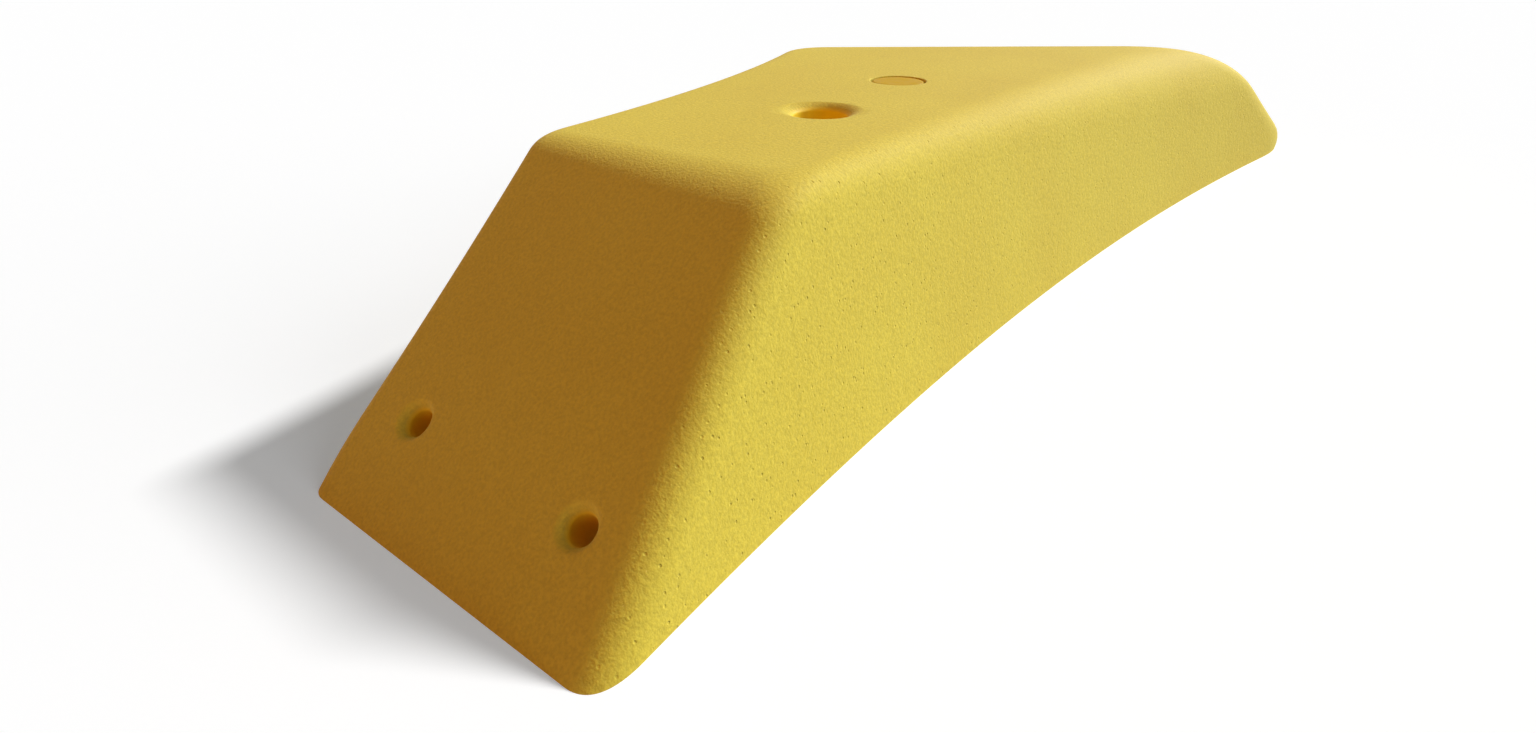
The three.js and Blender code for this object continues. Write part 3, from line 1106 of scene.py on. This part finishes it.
    def _hollow(self) -> bpy.types.Object:
        """Model the air inside the casting, with soft corners round its posts and ribs.

        Returns:
            The closed air space, open past the underside, still about the ridge point.
        """
        hollow = SkinBlock("hollow_air", self.form, self.wall, self.hollow_floor,
                           self.hollow_cuts, self.hollow_crowding).build()
        posts = [(self.bolt_foot, UP, self.bolt_radius + self.bolt_post_wall,
                  *self.bolt_post_span)]
        for mouth, way in self.screw_mouths().values():
            run = mouth.z / way.z + self.screw_post_proud
            posts.append((mouth, way, self.screw_radius + self.screw_post_wall, -run, 0.0))
        for foot, way, radius, low, high in posts:
            outline = [(0, low), (radius, low), (radius, high), (0, high)]
            self._cut(hollow, turn_profile("post", outline, self.post_sides, foot, way))
        for place in (self.bolt_place[0], self.far_rib_place):
            bpy.ops.object.select_all(action="DESELECT")
            bpy.ops.mesh.primitive_cube_add(size=1)
            rib = bpy.context.object
            rib.scale = Vector((self.rib_thickness, self.rib_length, self.rib_height)) * MM
            rib.location = Vector((place, 0, self.rib_setback + self.rib_height / 2)) * MM
            settle(rib)
            self._cut(hollow, rib)
        apply_modifier(hollow, "REMESH", mode="VOXEL", voxel_size=self.hollow_voxel * MM,
                       adaptivity=0.0)
        apply_modifier(hollow, "SMOOTH", factor=0.5, iterations=5)
        return hollow

    def _badge_pocket(self) -> bpy.types.Object:
        """Make the round solid that cuts the badge's pocket, its rim softly rounded.

        Returns:
            The cutter in the part's frame.
        """
        radius, rounding = self.badge_pocket_radius, self.badge_pocket_round
        proud = self.badge_pocket_proud
        outline = [(0, -self.badge_pocket_depth), (radius, -self.badge_pocket_depth)]
        outline += arc((radius + rounding, -rounding), rounding, 180, 90, 5)
        outline += [(radius + proud, self.badge_pocket_rise), (radius + proud, proud),
                    (0, proud)]
        return turn_profile("badge_cutter", outline, 128, self.badge_foot,
                            self.form.top_normal)

    def _mark_skin(self, body: bpy.types.Object) -> None:
        """Write each vertex's nearness to a soft edge, its place in a recess, and its bubbles.

        Air stayed at the steep sides of the mould, so only their skin has pin holes.

        Args:
            body: The cut casting in the part's frame.
        """
        points = get_points(body) / MM - np.array(RIDGE_PLACE)
        form = self.form
        outer = np.abs(form.depth(points)) < self.skin_depth
        near, right, far, left = (side.value.depth(points) for side in Side)
        top = np.abs(form.top_depth(points) - form.side_depth(points))
        edge = np.maximum(
            1 - top / (form.top_softness_at(points) * self.edge_reach),
            1 - np.abs(near - right) / (form.near_right_softness * self.edge_reach))
        recess = np.zeros(len(points))
        holes = [(self.bolt_foot, UP, self.bolt_radius, self.bolt_lip[0])]
        holes += [(mouth, way, self.screw_radius, self.screw_lip[0])
                  for mouth, way in self.screw_mouths().values()]
        for foot, way, radius, lip in holes:
            off = points - np.array(foot)
            along = off @ np.array(way)
            distance = np.linalg.norm(off - along[:, None] * np.array(way), axis=1)
            share = 1 - (distance - radius) / (lip * self.recess_reach)
            recess = np.maximum(recess, np.clip(share, 0, 1))
        sides = np.maximum.reduce([right, far, left])
        shares = {
            "edge_share": np.clip(edge, 0, 1) * outer,
            "recess_share": recess,
            "bubble_share": np.clip(1 + sides / self.bubble_reach, 0, 1) * (1 - recess),
        }
        for name, values in shares.items():
            layer = body.data.attributes.new(name, "FLOAT", "POINT")
            layer.data.foreach_set("value", values.astype(np.float32))


@dataclass
class Badge:
    """Round badge disc, bare, let into the top face with a fine groove round it."""

    casting: Casting
    radius: float = 9.5
    thickness: float = 2.0
    sink: float = 0.25
    rounding: float = 0.5

    def build(self, material: bpy.types.Material) -> bpy.types.Object:
        """Model the disc and dress it.

        Args:
            material: The badge's resin.

        Returns:
            The finished disc.
        """
        high, low = -self.sink, -self.sink - self.thickness
        outline = [(0, low), (self.radius, low)]
        outline += arc((self.radius - self.rounding, high - self.rounding), self.rounding, 0, 90, 6)
        # The face is very slightly dished, as poured resin shrinks
        outline += [(self.radius * 0.7, high - 0.03), (self.radius * 0.35, high - 0.06),
                    (0, high - 0.07)]
        disc = turn_profile("badge", outline, 128, self.casting.badge_foot,
                            self.casting.form.top_normal)
        finish_piece(disc, material, "badge_disc")
        return disc


@dataclass(frozen=True)
class WasherSize:
    """Bore radius, thickness and edge rounding of a punched washer, in millimetres."""

    bore: float
    thickness: float
    edge: float


BOLT_WASHER = WasherSize(5.25, 2.5, 0.3)
SCREW_WASHER = WasherSize(2.15, 1.2, 0.18)
# Free space between a washer and the recess that it lies in
WASHER_GAP = 0.3


@dataclass
class Washer:
    """A flat steel washer lying in the floor of a recess."""

    name: str
    node: str
    foot: Vector
    way: Vector
    low: float
    outer: float
    size: WasherSize

    def build(self, material: bpy.types.Material) -> bpy.types.Object:
        """Model the punched ring, its upper edges rounded and its lower ones crisp.

        Args:
            material: The plated steel.

        Returns:
            The finished washer.
        """
        bore, edge = self.size.bore, self.size.edge
        high = self.low + self.size.thickness
        outline = [(bore, self.low), (self.outer, self.low)]
        outline += arc((self.outer - edge, high - edge), edge, 0, 90, 4)
        outline += arc((bore + edge, high - edge), edge, 90, 180, 4)
        ring = turn_profile(self.name, outline, 72, self.foot, self.way)
        finish_piece(ring, material, self.node)
        return ring


@dataclass(frozen=True)
class PhotoCamera:
    """The camera, solved from the photograph: place in metres, pitch and heading in degrees."""

    place: Triple = (-0.33088, -0.13291, 0.13277)
    pitch: float = 28.5994
    heading: float = -58.0170
    lens: float = 21.0916
    sensor: float = 36.0

    def build(self) -> bpy.types.Object:
        """Set the camera up and make it the scene's.

        Returns:
            The camera.
        """
        data = bpy.data.cameras.new("photo_camera")
        data.lens = self.lens
        data.sensor_width = self.sensor
        data.sensor_fit = "HORIZONTAL"
        data.clip_start = 0.01
        data.clip_end = 50
        camera = bpy.data.objects.new("photo_camera", data)
        camera.location = self.place
        camera.rotation_euler = (math.radians(90 - self.pitch), 0, math.radians(self.heading))
        bpy.context.scene.collection.objects.link(camera)
        bpy.context.scene.camera = camera
        return camera


@dataclass(frozen=True)
class Lamp:
    """A soft far lamp: where it shines from, a sun lamp's strength, its width in degrees."""

    name: str
    way: Triple
    strength: float
    width: float
    colour: str = "FFFFFF"

    def build(self) -> bpy.types.Object:
        """Hang the lamp.

        Returns:
            The lamp.
        """
        data = bpy.data.lights.new(self.name, "SUN")
        data.energy = self.strength
        data.angle = math.radians(self.width)
        data.color = linear(self.colour)[:3]
        lamp = bpy.data.objects.new(self.name, data)
        lamp.rotation_mode = "QUATERNION"
        lamp.rotation_quaternion = UP.rotation_difference(Vector(self.way))
        bpy.context.scene.collection.objects.link(lamp)
        return lamp


@dataclass
class Studio:
    """White floor and three soft far lamps.

    The key lamp stands at the far right, a broad one at the right, and a warm broad fill at
    the near left lights the pieces alone.
    """

    key: Lamp = Lamp("key_lamp", (0.793, -0.277, 0.542), 3.8, 6.5)
    side: Lamp = Lamp("side_lamp", (0.4, -0.84, 0.36), 1.07, 50.0)
    fill: Lamp = Lamp("fill_lamp", (-0.85, 0.25, 0.45), 1.0, 60.0, "FF8E00")
    surround: float = 0.08

    def build(self, lit: Sequence[bpy.types.Object]) -> None:
        """Add floor, lamps and surround.

        Args:
            lit: The pieces that the warm fill lights, so that the floor's shadow stays grey.
        """
        self._floor()
        self.key.build()
        self.side.build()
        group = bpy.data.collections.new("lit_by_fill")
        for piece in lit:
            group.objects.link(piece)
        self.fill.build().light_linking.receiver_collection = group
        self._surround()

    def _floor(self) -> None:
        """Lay the flat white floor."""
        bpy.ops.object.select_all(action="DESELECT")
        bpy.ops.mesh.primitive_grid_add(x_subdivisions=8, y_subdivisions=8, size=12)
        floor = bpy.context.object
        floor.name = "studio_floor"
        floor.data.materials.append(PaintedFloor().build())

    def _surround(self) -> None:
        """Light faintly from all round, and show plain white to camera and reflections."""
        world = bpy.data.worlds.new("studio_surround")
        nodes = Nodes(world)
        even, white = (nodes.add(NodeKind.BACKGROUND, {"Color": WHITE, "Strength": strength})
                       for strength in (self.surround, 1.0))
        both = nodes.add(NodeKind.MIX_SHADER, {
            0: nodes.seen(), 1: even.outputs[0], 2: white.outputs[0],
        })
        nodes.add(NodeKind.WORLD_OUTPUT, {"Surface": both.outputs[0]})
        bpy.context.scene.world = world


def make_washers(casting: Casting) -> List[Washer]:
    """List the washers, each in the floor of its recess.

    Args:
        casting: The body that holds them.

    Returns:
        The bolt's washer and the four screws' washers.
    """
    washers = [Washer("washer_bolt", "bolt_washer", casting.bolt_foot + RIDGE_PLACE, UP,
                      casting.bolt_seat + WASHER_GAP, casting.bolt_radius - WASHER_GAP,
                      BOLT_WASHER)]
    for name, (mouth, way) in casting.screw_mouths().items():
        washers.append(Washer(f"washer_{name}", f"screw_washer_{name}", mouth + RIDGE_PLACE,
                              way, WASHER_GAP - casting.screw_depth,
                              casting.screw_radius - WASHER_GAP, SCREW_WASHER))
    return washers


def main() -> None:
    """Build the camera, the pieces and the studio."""
    logging.basicConfig(level=logging.INFO, format="%(message)s")
    bpy.ops.object.select_all(action="DESELECT")
    bpy.context.scene.view_settings.view_transform = "Standard"
    PhotoCamera().build()
    casting = Casting()
    pieces = [casting.build(CastPolyurethane().build())]
    pieces.append(Badge(casting).build(PouredResin().build()))
    steel = ZincPlatedSteel().build()
    pieces += [washer.build(steel) for washer in make_washers(casting)]
    Studio().build(pieces)
    bpy.context.view_layer.update()


if __name__ == "__main__":
    main()
